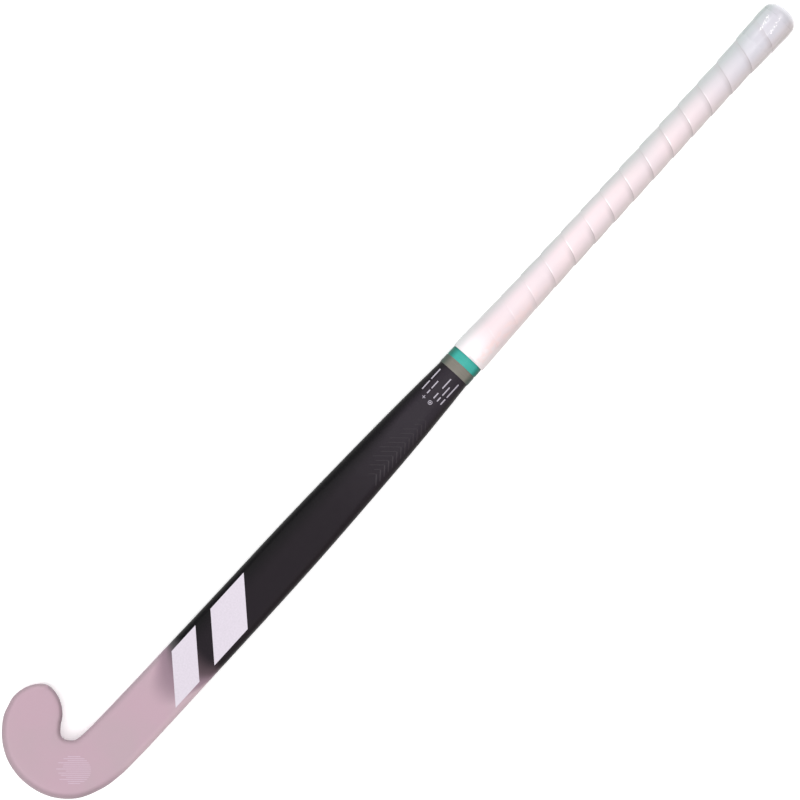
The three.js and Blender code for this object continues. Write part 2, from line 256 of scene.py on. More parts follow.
def bow(points):
    """Bends the straight stick into its bow."""
    x, y, z = np.moveaxis(np.asarray(points, float), -1, 0)
    radius = (BOW_END - BOW_START) / BOW_ANGLE
    turned = np.clip((x - BOW_START) / radius, 0, BOW_ANGLE)
    past = np.maximum(x - BOW_END, 0)
    start = np.minimum(x, BOW_START)
    return np.stack(
        [
            start + (radius - z) * np.sin(turned) + past * np.cos(turned),
            y,
            radius * (1 - np.cos(turned)) + past * np.sin(turned) + z * np.cos(turned),
        ],
        axis=-1,
    )


TILT = np.array(Matrix.Rotation(REST_ROLL, 3, "X") @ Matrix.Rotation(REST_PITCH, 3, "Y"))


def tilted(points):
    return bow(points) @ TILT.T * MM


CORNER_STEPS = 8
FLAT_STEPS = 10
BACK_STEPS = 40
FACE_LAST_ANGLE = math.radians(80)  # where the corner's points stop on an oval cut


def ring_points(cuts, inset, with_across=False):
    """Points round each cut, [cut, point, xyz], and if asked, how far across the stick each point is."""
    shape = Shape(cuts, inset)
    beyond = cuts.beyond / shape.half
    reach = (shape.half * (1 - np.minimum(beyond, 1) ** TOE_POWER) ** (1 / TOE_POWER))[:, None]
    last_angle = mix(TURN / 4, FACE_LAST_ANGLE, cuts.roundness)[:, None]
    angles = np.linspace(0, 1, CORNER_STEPS + 1) * last_angle
    corner = 1 - (shape.corner / shape.half)[:, None] * (1 - np.cos(angles))
    flat = corner[:, -1:] * np.linspace(1, -1, FLAT_STEPS + 1)[1:-1]
    face = np.hstack([corner, flat, -corner[:, ::-1]])
    turn = np.linspace(0, TURN / 2, BACK_STEPS + 1)[1:-1]
    back = -np.sign(np.cos(turn)) * np.abs(np.cos(turn)) ** (2 / shape.power[:, None])
    heights = []
    sides = []
    for shares, height in ((face, shape.face_height), (back, shape.back_height)):
        q = shares * reach
        r = oval_radius(q, cuts.beyond[:, None])
        sides.append(q)
        heights.append(height(r))
    sides = np.hstack(sides)
    points = placed(cuts, sides, np.hstack(heights))
    if not with_across:
        return points
    across = np.sign(sides) * oval_radius(sides, cuts.beyond[:, None]) / shape.half[:, None]
    return points, across


def oval_radius(q, beyond):
    """How far out a point lies, counted so that it is the same all round the toe's oval."""
    return (np.abs(q) ** TOE_POWER + beyond**TOE_POWER) ** (1 / TOE_POWER)


def placed(cuts, q, z):
    """Points of cuts, q to the toe side or the throat and z above the face."""
    beyond = TOE_STRETCH * cuts.beyond[:, None]
    x = cuts.middle[:, :1] - cuts.along[:, 1:] * q - cuts.along[:, :1] * beyond
    y = cuts.middle[:, 1:] + cuts.along[:, :1] * q - cuts.along[:, 1:] * beyond
    return np.stack([x, y, z], axis=-1)


TOE_STEPS = 16
HEAD_STEPS = 150


def shell_cuts(spacing):
    """Cuts from the toe's middle to the open end, and the shaft's every spacing millimetres."""
    head = np.linspace(0, shaft_share(BOW_START), HEAD_STEPS)
    places = np.arange(BOW_START + spacing, SHELL_END, spacing)
    return Cuts(np.concatenate([head, shaft_share(places), [1.0]]))


def toe_cuts(inset):
    """Cuts past the first one, closer and closer, that round off the toe."""
    half = Cuts([0.0]).half[0] - inset
    angles = np.linspace(TURN / 4, 0, TOE_STEPS + 1)[1:-1]
    return Cuts(np.zeros(len(angles)), half * np.sin(angles) ** (2 / TOE_POWER))


def toe_tip(inset):
    """The one point at the toe's end."""
    cut = Cuts([0.0], [Cuts([0.0]).half[0] - inset])
    return placed(cut, np.zeros((1, 1)), Shape(cut, inset).shoulder[:, None])[0]


OUTSIDE_SPACING = 3
INSIDE_SPACING = 12


def find_shift():
    """Lines the shell up with the CAD's by its open end, heel side and underside, where both are the same."""
    rings = (ring_points(shell_cuts(OUTSIDE_SPACING), 0), ring_points(toe_cuts(0), 0))
    points = np.vstack([tilted(grid).reshape(-1, 3) for grid in rings])
    low, high = points.min(0), points.max(0)
    cad_shell_low, cad_shell_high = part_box("stick_shell")
    return np.array([cad_shell_high[0] - high[0], cad_shell_low[1] - low[1], cad_shell_low[2] - low[2]])


SHIFT = find_shift()


def to_row(points):
    """From the straight stick in millimetres to the row frame in metres."""
    return tilted(points) + SHIFT


# ---- camera ----

HANDLE_ANGLE = math.radians(47.52)  # how far the handle points above level in the view
VIEW_LEAN = math.radians(5)  # how far the camera stands to the head's side of square
VIEW_WIDTH = 683.5 * MM  # what the picture's width takes in at the stick
LENS_MM = 300
SENSOR_MM = 36
VIEW_MIDDLE = (456.4, 18.5, -10)  # the point of the straight stick in the middle of the view


def make_camera():
    heel, butt = to_row(np.array([(0, 0, 0), (STICK_LENGTH, 0, 0)]))
    chord = Vector(butt - heel).normalized()
    toe_side = Vector(TILT[:, 1])
    square = chord.cross(toe_side).normalized()
    towards_camera = square * math.cos(VIEW_LEAN) - chord * math.sin(VIEW_LEAN)
    handle = toe_side.cross(towards_camera).normalized()
    right = handle * math.cos(HANDLE_ANGLE) - toe_side * math.sin(HANDLE_ANGLE)
    up = towards_camera.cross(right)
    target = Vector(to_row(np.array(VIEW_MIDDLE)))
    data = bpy.data.cameras.new("camera")
    data.lens = LENS_MM
    data.sensor_width = SENSOR_MM
    data.clip_end = 50
    camera = bpy.data.objects.new("camera", data)
    bpy.context.scene.collection.objects.link(camera)
    distance = VIEW_WIDTH * LENS_MM / SENSOR_MM
    camera.matrix_world = Matrix.Translation(target + towards_camera * distance) @ Matrix(
        (right, up, towards_camera)
    ).transposed().to_4x4()
    bpy.context.scene.camera = camera
    return towards_camera, handle, toe_side


TOWARDS_CAMERA, VIEW_HANDLE, VIEW_TOE_SIDE = make_camera()

# ---- material helpers ----


def linear(red, green, blue):
    """A colour given as sRGB values from 0 to 255, as the linear numbers that nodes take."""
    def one(value):
        share = value / 255
        return share / 12.92 if share <= 0.04045 else ((share + 0.055) / 1.055) ** 2.4

    return (one(red), one(green), one(blue), 1.0)


class Nodes:
    """Short ways to make the nodes of one material."""

    def __init__(self, name):
        self.material = bpy.data.materials.new(name)
        self.material.use_nodes = True
        self.tree = self.material.node_tree
        self.shader = self.tree.nodes["Principled BSDF"]

    def add(self, kind, **settings):
        node = self.tree.nodes.new(kind)
        for key, value in settings.items():
            setattr(node, key, value)
        return node

    def link(self, start, end):
        self.tree.links.new(start, end)

    def feed(self, socket, value):
        """Links value to the socket if it is a socket too, or else sets it there."""
        if isinstance(value, bpy.types.NodeSocket):
            self.link(value, socket)
        else:
            socket.default_value = value

    def attribute(self, name):
        return self.add("ShaderNodeAttribute", attribute_name=name)

    def stick_axes(self):
        """The straight stick's x, y and z in millimetres, and the vector."""
        vector = self.attribute("stick").outputs["Vector"]
        split = self.add("ShaderNodeSeparateXYZ")
        self.link(vector, split.inputs[0])
        return split.outputs[0], split.outputs[1], split.outputs[2], vector

    def math(self, operation, a, b=0.0):
        node = self.add("ShaderNodeMath", operation=operation)
        self.feed(node.inputs[0], a)
        self.feed(node.inputs[1], b)
        return node.outputs[0]

    def times(self, a, b):
        return self.math("MULTIPLY", a, b)

    def plus(self, a, b):
        return self.math("ADD", a, b)

    def span(self, value, low, high, start=0.0, end=1.0, smooth=True):
        """Goes from start to end as value goes from low to high, and stays level outside them."""
        node = self.add("ShaderNodeMapRange", interpolation_type="SMOOTHSTEP" if smooth else "LINEAR")
        for socket, number in zip(node.inputs[:5], (value, low, high, start, end)):
            self.feed(socket, number)
        return node.outputs[0]

    def noise(self, vector, scale, detail=3.0, roughness=0.5, stretch=None):
        if stretch is not None:
            mapping = self.add("ShaderNodeMapping")
            mapping.inputs["Scale"].default_value = stretch
            self.link(vector, mapping.inputs["Vector"])
            vector = mapping.outputs[0]
        node = self.add("ShaderNodeTexNoise")
        self.link(vector, node.inputs["Vector"])
        node.inputs["Scale"].default_value = scale
        node.inputs["Detail"].default_value = detail
        node.inputs["Roughness"].default_value = roughness
        return node.outputs["Fac"]

    def blend(self, share, a, b):
        """Goes from a to b as share goes from 0 to 1."""
        node = self.add("ShaderNodeMix", data_type="RGBA")
        self.feed(node.inputs[0], share)
        self.feed(node.inputs[6], a)
        self.feed(node.inputs[7], b)
        return node.outputs[2]

    def bump(self, height, distance_mm, strength):
        node = self.add("ShaderNodeBump")
        node.inputs["Distance"].default_value = distance_mm * MM
        node.inputs["Strength"].default_value = strength
        self.link(height, node.inputs["Height"])
        return node.outputs[0]

    def finish(self, colour, roughness, normal=None, specular=0.5, sheen=0.0):
        self.feed(self.shader.inputs["Base Color"], colour)
        self.feed(self.shader.inputs["Roughness"], roughness)
        self.shader.inputs["Specular IOR Level"].default_value = specular
        self.shader.inputs["Sheen Weight"].default_value = sheen
        if normal is not None:
            self.link(normal, self.shader.inputs["Normal"])
        return self.material


# ---- mesh helpers ----


SHARP_ANGLE = math.radians(40)
SAME_POINT = 1e-6  # metres


def new_piece(name, points, faces, material, replaces=(), sharp_angle=SHARP_ANGLE, extra=None):
    """A mesh piece from points on the straight stick. extra maps a name to one number for each point."""
    points = np.asarray(points, float).reshape(-1, 3)
    mesh = bpy.data.meshes.new(name)
    mesh.from_pydata(to_row(points).tolist(), [], faces)
    straight = mesh.attributes.new("stick", "FLOAT_VECTOR", "POINT")
    straight.data.foreach_set("vector", points.astype(np.float32).ravel())
    for key, values in (extra or {}).items():
        layer = mesh.attributes.new(key, "FLOAT", "POINT")
        layer.data.foreach_set("value", np.asarray(values, np.float32).ravel())
    clean(mesh)
    mesh.materials.append(material)
    mesh.shade_smooth()
    mesh.set_sharp_from_angle(angle=sharp_angle)
    piece = bpy.data.objects.new(name, mesh)
    bpy.context.scene.collection.objects.link(piece)
    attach(piece, "root")
    if replaces:
        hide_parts(*replaces)
    return piece


def clean(mesh):
    """Joins points that coincide, drops faces without area and turns all faces outwards."""
    work = bmesh.new()
    work.from_mesh(mesh)
    bmesh.ops.remove_doubles(work, verts=work.verts, dist=SAME_POINT)
    bmesh.ops.dissolve_degenerate(work, edges=work.edges, dist=SAME_POINT)
    bmesh.ops.recalc_face_normals(work, faces=work.faces)
    work.to_mesh(mesh)
    work.free()


def grid_faces(rows, columns, first=0, close_rows=False, close_columns=False):
    """Quads of a grid of points numbered row by row from first."""
    faces = []
    for i in range(rows if close_rows else rows - 1):
        for j in range(columns if close_columns else columns - 1):
            a = first + i * columns + j
            b = first + i * columns + (j + 1) % columns
            c = first + ((i + 1) % rows) * columns + (j + 1) % columns
            d = first + ((i + 1) % rows) * columns + j
            faces.append((a, b, c, d))
    return faces


def tipped_rings(start, rings, end):
    """Points and faces of a row of rings [ring, point, xyz] that is closed by one point at each end."""
    count = rings.shape[1]
    points = np.vstack([start, rings.reshape(-1, 3), end])
    last = len(points) - 1
    faces = grid_faces(len(rings), count, 1, close_columns=True)
    for tip, first in ((0, 1), (last, last - count)):
        faces += [(tip, first + i, first + (i + 1) % count) for i in range(count)]
    return points, faces


# ---- materials ----

PINK = linear(180, 153, 165)
PINK_GREY = linear(176, 154, 163)
PINK_HEEL_EDGE_LIGHT = linear(200, 176, 184)
PINK_TOE_EDGE_SHADE = linear(146, 134, 140)
HOOK_EDGE_SHADE = linear(138, 122, 128)
MAUVE = linear(140, 118, 130)
UMBER = linear(82, 68, 74)
SLATE = linear(72, 70, 72)
CHARCOAL = linear(26, 22, 27)
CHARCOAL_LIGHT = linear(43, 39, 45)
CHARCOAL_TOE_SIDE_SHADE = linear(6, 9, 9)
CHARCOAL_HEEL_SIDE_SHADE = linear(31, 28, 27)
RIM_SHADE = linear(118, 126, 118)
GRIP_WARM = linear(221, 203, 207)
GRIP_GREY = linear(216, 201, 206)
GRIP_NEAR_BUTT = linear(193, 190, 198)
GRIP_TOE_SIDE_SHADE = linear(157, 166, 165)
GRIP_TOE_RIM_SHADE = linear(122, 133, 131)
GRIP_HEEL_SIDE_SHADE = linear(198, 184, 181)
GRIP_HEEL_RIM_SHADE = linear(138, 130, 124)
GRIP_SEAM_SHADE = linear(160, 150, 152)
GRIP_WHITE_AND_HIGHLIGHT = linear(250, 246, 248)
GRIP_CREASE = linear(232, 196, 190)
CAP_GREY = linear(188, 186, 193)
CAP_END = linear(232, 232, 238)
PRINT = linear(206, 198, 209)
SMALL_PRINT = linear(170, 164, 175)
TONE_PRINT = linear(49, 44, 49)
HEEL_PRINT = linear(196, 174, 190)
GREY_TAPE = linear(120, 117, 109)
GREY_TAPE_SIDE_SHADE = linear(57, 71, 63)
TEAL_TAPE = linear(64, 162, 152)
TEAL_TAPE_SIDE_SHADE = linear(3, 94, 80)


# Where the fade from pink to charcoal starts and ends along x: on the middle line, at the toe-side edge, and
# how much further on it is at the heel-side edge.
FADE_START = (121, 153, 44)
FADE_END = (186, 180, 4)
FADE_DRIFT = 8  # how unevenly it was sprayed

# Where along x, y or z a tint comes in; most of them place the painted light and painted shade along the
# edges.
HEEL_EDGE_X = (45, 80)
TOE_EDGE_X = (60, 110)
HOOK_X = (62, 25)
HOOK_Y = (34, 46)
FACE_SIDE_Z = (-13, -5)
RIM_SHADE_X = (130, 170)
LIGHTER_X = (335, 465)
NARROWER_X = (400, 460)


def pink_paint(n, x, y, across, cloud, face_side):
    """Pink, paler at the shaft's heel side with painted light, and duller at its toe side and darker round
    the hook's edge with painted shade.
    """
    colour = n.blend(n.span(cloud, 0.35, 0.7), PINK, PINK_GREY)
    # Painted light: the heel-side edge is made paler where its bevel would fall into shade.
    heel_painted_light = n.times(n.span(across, -0.72, -0.95, 0.0, 0.8), n.span(x, *HEEL_EDGE_X))
    # Painted shade: the toe-side edge is darkened where it turns away from the light.
    toe_edge = n.times(n.span(across, 0.75, 0.97, 0.0, 0.5), n.span(x, *TOE_EDGE_X))
    colour = n.blend(heel_painted_light, colour, PINK_HEEL_EDGE_LIGHT)
    colour = n.blend(toe_edge, colour, PINK_TOE_EDGE_SHADE)
    # Painted shade round the edge of the hook, on the face side only.
    on_hook = n.math("MAXIMUM", n.span(x, *HOOK_X), n.span(y, *HOOK_Y))
    edge = n.span(n.math("ABSOLUTE", across), 0.8, 0.97, 0.0, 0.55)
    return n.blend(n.times(edge, n.times(on_hook, face_side)), colour, HOOK_EDGE_SHADE)


def dark_paint(n, x, across):
    """Charcoal, lighter near the handle, and darker down both sides with painted shade."""
    colour = n.blend(n.span(x, *LIGHTER_X), CHARCOAL, CHARCOAL_LIGHT)
    # Painted shade down both sides of the charcoal shaft: greenish on the toe side, warm on the heel side.
    toe_painted_shade = n.span(across, n.span(x, *NARROWER_X, 0.1, 0.4), 0.92)
    heel_painted_shade = n.times(n.span(across, -0.6, -1.0), n.span(x, *NARROWER_X, 0.6, 1.0))
    colour = n.blend(toe_painted_shade, colour, CHARCOAL_TOE_SIDE_SHADE)
    return n.blend(heel_painted_shade, colour, CHARCOAL_HEEL_SIDE_SHADE)


def fade_place(n, toe_half, heel_half, middle, toe_edge, heel_further):
    place = n.span(toe_half, 0, 1, middle, toe_edge, smooth=False)
    return n.plus(place, n.times(heel_half, heel_further))


def paint_material():
    """Satin lacquer over an airbrushed fade from pink through mauve and umber to charcoal, with painted light
    and painted shade along the edges.
    """
    n = Nodes("stick_paint")
    x, y, z, vector = n.stick_axes()
    across = n.attribute("across").outputs["Fac"]
    cloud = n.noise(vector, 0.02, detail=4)
    # The painted shade on the edges is kept to the face side.
    face_side = n.span(z, *FACE_SIDE_Z)
    toe_half = n.math("POWER", n.math("MAXIMUM", across, 0), 2)
    heel_half = n.math("POWER", n.math("MAXIMUM", n.times(across, -1), 0), 3)
    start = fade_place(n, toe_half, heel_half, *FADE_START)
    end = fade_place(n, toe_half, heel_half, *FADE_END)
    along = n.plus(x, n.times(n.math("SUBTRACT", cloud, 0.5), FADE_DRIFT))
    fade = n.span(along, start, end, smooth=False)
    umber = n.blend(n.span(across, 0.0, 0.9), UMBER, SLATE)
    colour = n.blend(n.span(fade, 0.0, 0.45), pink_paint(n, x, y, across, cloud, face_side), MAUVE)
    colour = n.blend(n.span(fade, 0.4, 0.75), colour, umber)
    colour = n.blend(n.span(fade, 0.68, 1.0), colour, dark_paint(n, x, across))
    # Painted shade: a thin grey-green line along the very edge, where the surface turns away.
    rim = n.times(n.span(n.math("ABSOLUTE", across), 0.97, 0.995), n.span(x, *RIM_SHADE_X, 0.3, 0.0))
    colour = n.blend(n.times(rim, face_side), colour, RIM_SHADE)
    speckle = n.noise(vector, 1.4, detail=2)
    colour = n.blend(n.span(speckle, 0.3, 0.7, 0.0, 0.03), colour, MAUVE)
    roughness = n.span(n.noise(vector, 0.15, detail=5), 0.3, 0.7, 0.4, 0.48)
    peel = n.noise(vector, 0.5, detail=2)
    return n.finish(colour, roughness, n.bump(peel, 0.02, 0.5), specular=0.07)


def darker(colour, share):
    return tuple(channel * share for channel in colour[:3]) + (1.0,)


def print_material(name, colour, roughness=0.4):
    """Screen print under the lacquer, with a trace of unevenness in the ink."""
    n = Nodes(name)
    _, _, _, vector = n.stick_axes()
    ink = n.noise(vector, 0.6, detail=4)
    shade = n.blend(n.span(ink, 0.3, 0.7), colour, darker(colour, 0.93))
    gloss = n.span(n.noise(vector, 0.2), 0.3, 0.7, roughness - 0.04, roughness + 0.05)
    return n.finish(shade, gloss, n.bump(n.noise(vector, 0.5), 0.01, 0.5), specular=0.2)


TAPE_TOE_SHADE_Y = (7.5, 15)
TAPE_HEEL_SHADE_Y = (-9.5, -15)


def tape_material(name, colour, dark):
    """Thin vinyl tape, darker down its sides with painted shade, with faint stretch lines round the handle.
    """
    n = Nodes(name)
    _, y, _, vector = n.stick_axes()
    lines = n.noise(vector, 1.0, detail=3, stretch=(2.4, 0.08, 0.08))
    shade = n.blend(n.span(lines, 0.3, 0.7), colour, darker(colour, 0.9))
    # Painted shade down both sides of the tape.
    flanks = n.plus(n.span(y, *TAPE_TOE_SHADE_Y), n.span(y, *TAPE_HEEL_SHADE_Y))
    shade = n.blend(flanks, shade, dark)
    roughness = n.span(n.noise(vector, 0.4), 0.3, 0.7, 0.34, 0.5)
    return n.finish(shade, roughness, n.bump(lines, 0.05, 0.5), specular=0.12)


# Where along x a tint, a painted shade or painted highlight, or the gloss of the grip comes in or ends.
NEAR_COLLAR_X = (556, 526)
NEAR_BUTT_X = (780, 890)
TOE_SHADE_FROM_X = (680, 750)
TOE_SHADE_TO_X = (870, 900)
SIDES_WIDEN_X = (525, 640)
CREASED_X = (640, 540)
SEAMS_FROM_X = (560, 650)
SEAMS_TO_X = (894, 908)
SEAMS_WIDEN_X = (690, 790)
CREST_HIGHLIGHTS_TO_X = (790, 850)
GLOSSY_X = (868, 898)


def grip_tint(n, x, y, vector):
    """White, whitest at the collar, cooler to the butt, cooler on the toe side and greyer down both sides
    with painted shade, and creased low down.
    """
    cloud = n.noise(vector, 0.03, detail=3)
    colour = n.blend(n.span(cloud, 0.3, 0.7), GRIP_WARM, GRIP_GREY)
    colour = n.blend(n.span(x, *NEAR_COLLAR_X, 0.0, 0.5), colour, GRIP_WHITE_AND_HIGHLIGHT)
    colour = n.blend(n.span(x, *NEAR_BUTT_X), colour, GRIP_NEAR_BUTT)
    # Painted shade over the toe side of the upper handle.
    upper = n.times(n.span(x, *TOE_SHADE_FROM_X), n.span(x, *TOE_SHADE_TO_X, 1.0, 0.0))
    colour = n.blend(n.times(upper, n.span(y, -3, 9, 0.04, 0.36)), colour, GRIP_TOE_SIDE_SHADE)
    # Painted shade down both sides of the grip.
    colour = painted_side_shade(n, colour, n.times(y, n.span(x, *SIDES_WIDEN_X, 0.8, 1.0)))
    creased = n.times(n.span(x, *CREASED_X, 0.0, 0.4), n.span(n.noise(vector, 0.16), 0.4, 0.65))
    heel_side = n.times(n.span(y, -3, -7), n.span(y, -14, -11))
    return n.blend(n.times(creased, heel_side), colour, GRIP_CREASE)


def seam_shade_and_highlight(n, colour, x, y, vector):
    """Painted shade as a darker line down each seam, and beside it a painted highlight as the broken bright
    line of the turn's edge.
    """
    turn = n.attribute("turn").outputs["Fac"]
    # Painted shade in the groove of each seam and on the slope before it, mostly on the heel side.
    after = n.span(turn, 0.0, 0.02, 0.8, 0.0)
    before = n.plus(n.span(turn, 0.76, 0.97, 0.0, 0.4), n.span(turn, 0.97, 1.0, 0.0, 0.4))
    ends = n.times(n.span(x, *SEAMS_FROM_X, 0.1, 1.0), n.span(x, *SEAMS_TO_X, 1.0, 0.0))
    at_toe_side = n.span(x, *SEAMS_WIDEN_X, 0.12, 0.6)
    seam = n.times(n.math("MAXIMUM", after, before), n.span(y, 5, -7, at_toe_side, 0.9))
    colour = n.blend(n.times(seam, ends), colour, GRIP_SEAM_SHADE)
    # Painted highlight along the raised edge of each turn.
    crest_highlight = n.times(n.span(turn, 0.0, 0.02), n.span(turn, 0.035, 0.065, 1.0, 0.0))
    crest_highlight = n.times(crest_highlight, n.span(n.math("ABSOLUTE", y), 2, 8, 0.7, 0.0))
    crest_highlight = n.times(crest_highlight, n.span(n.noise(vector, 0.11), 0.35, 0.6, 0.25, 1.0))
    crest_highlight = n.times(crest_highlight, n.span(x, *CREST_HIGHLIGHTS_TO_X, 1.0, 0.0))
    return n.blend(n.times(crest_highlight, ends), colour, GRIP_WHITE_AND_HIGHLIGHT)


def grip_material():
    """Soft polyurethane cushion tape: fine grain, darker in the seams with painted shade, painted highlights
    on the turns' edges and near the butt, and glossier where it is stretched.
    """
    n = Nodes("cushion_grip")
    x, y, _, vector = n.stick_axes()
    colour = grip_tint(n, x, y, vector)
    colour = seam_shade_and_highlight(n, colour, x, y, vector)
    colour = painted_glints(n, colour, x, y, vector)
    grain = n.add("ShaderNodeTexVoronoi", feature="SMOOTH_F1")
    n.link(vector, grain.inputs["Vector"])
    grain.inputs["Scale"].default_value = 1.1
    fine = n.noise(vector, 3.0, detail=3)
    height = n.plus(n.times(grain.outputs["Distance"], 0.7), n.times(fine, 0.5))
    satin = n.span(n.noise(vector, 0.25), 0.3, 0.7, 0.42, 0.55)
    roughness = n.blend(n.span(x, *GLOSSY_X), satin, n.span(fine, 0.2, 0.8, 0.13, 0.19))
    return n.finish(colour, roughness, n.bump(height, 0.05, 0.6), specular=0.45, sheen=0.1)


# Painted highlights: two broken streaks of glints on the glossy wrap near the butt.
GLINT_STREAKS = [  # start x, end x, y at the start, slope
    (896, 914, 5.0, 0.2),
    (899, 919, -3.4, 0.155),
]


def painted_glints(n, colour, x, y, vector):
    """Two broken streaks of painted highlight near the butt: glints on the glossy wrap."""
    grain = n.span(n.noise(vector, 1.3, detail=2), 0.47, 0.58)
    waver = n.times(n.math("SUBTRACT", n.noise(vector, 0.4), 0.5), 5)
    for start, end, height, slope in GLINT_STREAKS:
        middle = n.plus(n.times(n.math("SUBTRACT", x, start), slope), height)
        middle = n.plus(middle, waver)
        off = n.math("ABSOLUTE", n.math("SUBTRACT", y, middle))
        along = n.times(n.span(x, start, start + 3), n.span(x, end - 3, end, 1.0, 0.0))
        streak = n.times(n.span(off, 0.3, 1.0, 1.0, 0.0), along)
        colour = n.blend(n.times(streak, grain), colour, GRIP_WHITE_AND_HIGHLIGHT)
    return colour


def painted_side_shade(n, colour, y):
    """Greyer flanks on a white handle, which are painted shade: cool on the toe side, warm on the heel side.
    """
    colour = n.blend(n.span(y, 4, 14, 0.0, 0.75), colour, GRIP_TOE_SIDE_SHADE)
    colour = n.blend(n.span(y, -5, -14, 0.0, 0.6), colour, GRIP_HEEL_SIDE_SHADE)
    colour = n.blend(n.span(y, 12, 15, 0.0, 0.6), colour, GRIP_TOE_RIM_SHADE)
    return n.blend(n.span(y, -12, -15, 0.0, 0.5), colour, GRIP_HEEL_RIM_SHADE)


CAP_END_X = (919, 926)


def cap_material():
    """Glossy moulded rubber, the colour of the wrap's last turns, with the same painted shade down its sides
    and painted glints.
    """
    n = Nodes("moulded_cap")
    x, y, _, vector = n.stick_axes()
    cloud = n.noise(vector, 0.2)
    colour = n.blend(n.span(cloud, 0.3, 0.7), GRIP_NEAR_BUTT, CAP_GREY)
    # The same painted shade down both sides of the cap.
    colour = painted_side_shade(n, colour, y)
    colour = n.blend(n.span(x, *CAP_END_X, 0.0, 0.7), colour, CAP_END)
    # The same painted glints on the cap.
    colour = painted_glints(n, colour, x, y, vector)
    fine = n.noise(vector, 2.5, detail=3)
    return n.finish(colour, n.span(fine, 0.2, 0.8, 0.13, 0.19), n.bump(fine, 0.02, 0.5), specular=0.45)


def hidden_material(name, colour, dark, scale, roughness):
    """The inner pieces: colour, gloss and surface all vary with the same grain."""
    n = Nodes(name)
    where = n.add("ShaderNodeTexCoord").outputs["Object"]
    cells = n.noise(where, scale, detail=6, roughness=0.65)
    shade = n.blend(n.span(cells, 0.35, 0.65), colour, dark)
    gloss = n.span(cells, 0.3, 0.7, roughness - 0.05, roughness + 0.05)
    return n.finish(shade, gloss, n.bump(cells, 0.3, 0.4))


# ---- shell ----


def make_shell():
    """Outside from the toe to the open end, then inside back to the toe."""
    toe, toe_across = ring_points(toe_cuts(0), 0, with_across=True)
    shaft, shaft_across = ring_points(shell_cuts(OUTSIDE_SPACING), 0, with_across=True)
    outside = np.concatenate([toe, shaft])
    inner_cuts = shell_cuts(INSIDE_SPACING)
    toe_inside = ring_points(toe_cuts(HEAD_WALL), HEAD_WALL)
    shaft_inside = ring_points(inner_cuts, wall_at(inner_cuts.middle[:, 0]))
    inside = np.concatenate([toe_inside, shaft_inside])
    rings = np.concatenate([outside, inside[::-1]])
    points, faces = tipped_rings(toe_tip(0), rings, toe_tip(HEAD_WALL))
    unseen = np.zeros(inside.shape[0] * inside.shape[1] + 1)
    across = np.concatenate([[1], toe_across.ravel(), shaft_across.ravel(), unseen])
    new_piece(
        "shell",
        points,
        faces,
        paint_material(),
        ["stick_shell"],
        extra={"across": across},
    )


# ---- prints on the face ----

FILM_TOP = 0.05
FILM_BOTTOM = -0.04


def face_point_height(x, y):
    """Height of the face side of the straight shaft or head at plan position x, y, for x past the hook."""
    cuts = Cuts(shaft_share(np.atleast_1d(x)))
    r = np.abs(np.atleast_1d(y) - cuts.middle[:, 1])[:, None]
    return Shape(cuts, 0.0).face_height(r)[:, 0]


def film(outline_rows):
    """A thin printed film over a grid of plan points [row, column, (x, y)]. Returns points and faces."""
    rows, columns = outline_rows.shape[:2]
    flat = outline_rows.reshape(-1, 2)
    on_head = flat[:, 0] < BOW_START
    height = np.where(on_head, 0.0, face_point_height(np.maximum(flat[:, 0], BOW_START), flat[:, 1]))
    top = np.column_stack([flat, height + FILM_TOP])
    bottom = np.column_stack([flat, height + FILM_BOTTOM])
    size = rows * columns
    faces = grid_faces(rows, columns)
    faces += [tuple(size + i for i in reversed(face)) for face in grid_faces(rows, columns)]
    border = [(0, j) for j in range(columns)] + [(i, columns - 1) for i in range(1, rows)]
    border += [(rows - 1, j) for j in range(columns - 2, -1, -1)] + [(i, 0) for i in range(rows - 2, 0, -1)]
    loop = [i * columns + j for i, j in border]
    for a, b in zip(loop, loop[1:] + loop[:1]):
        faces.append((a, b, size + b, size + a))
    return np.vstack([top, bottom]), faces


def film_piece(name, grids, material):
    """One piece from several printed films."""
    points = []
    faces = []
    for grid in grids:
        offset = sum(len(p) for p in points)
        new_points, new_faces = film(grid)
        points.append(new_points)
        faces += [tuple(offset + i for i in face) for face in new_faces]
    new_piece(name, np.vstack(points), faces, material)


BAR_SLANT = 0.95  # how far a bar's side moves along x for each millimetre in y
BAR_SIDE = 17.5  # where the bars end, either side of the middle line
BAR_ROWS = 14
BAR_COLUMNS = 10
SHORT_BAR = (133, 30)  # x of the low corner, width
LONG_BAR = (182, 42)


def slanted_bar(start, width):
    """A parallelogram across the shaft with slanted sides: start is its low corner's x."""
    y = np.linspace(-BAR_SIDE, BAR_SIDE, BAR_ROWS)[:, None]
    x = start + BAR_SLANT * (y + BAR_SIDE) + np.linspace(0, width, BAR_COLUMNS)[None, :]
    return np.stack([x, np.broadcast_to(y, x.shape)], axis=-1)


def stroke(start, end, width, steps=6):
    """A straight print line between two plan points."""
    start, end = np.array(start, float), np.array(end, float)
    along = (end - start) / np.linalg.norm(end - start)
    side = np.array([-along[1], along[0]]) * width / 2
    middle = start + np.linspace(0, 1, steps)[:, None] * (end - start)
    return np.stack([middle - side, middle + side], axis=1)


def make_big_print():
    ink = print_material("lilac_ink", PRINT)
    film_piece("print_bar_short", [slanted_bar(*SHORT_BAR)], ink)
    film_piece("print_bar_long", [slanted_bar(*LONG_BAR)], ink)


def ring_grid(middle, radius, width, steps=16):
    """A printed ring round a plan point."""
    angles = np.linspace(0, TURN, steps + 1)
    around = np.stack([np.cos(angles), np.sin(angles)], axis=1)
    middle = np.array(middle, float)
    return np.stack([middle + around * (radius - width / 2), middle + around * (radius + width / 2)], axis=1)


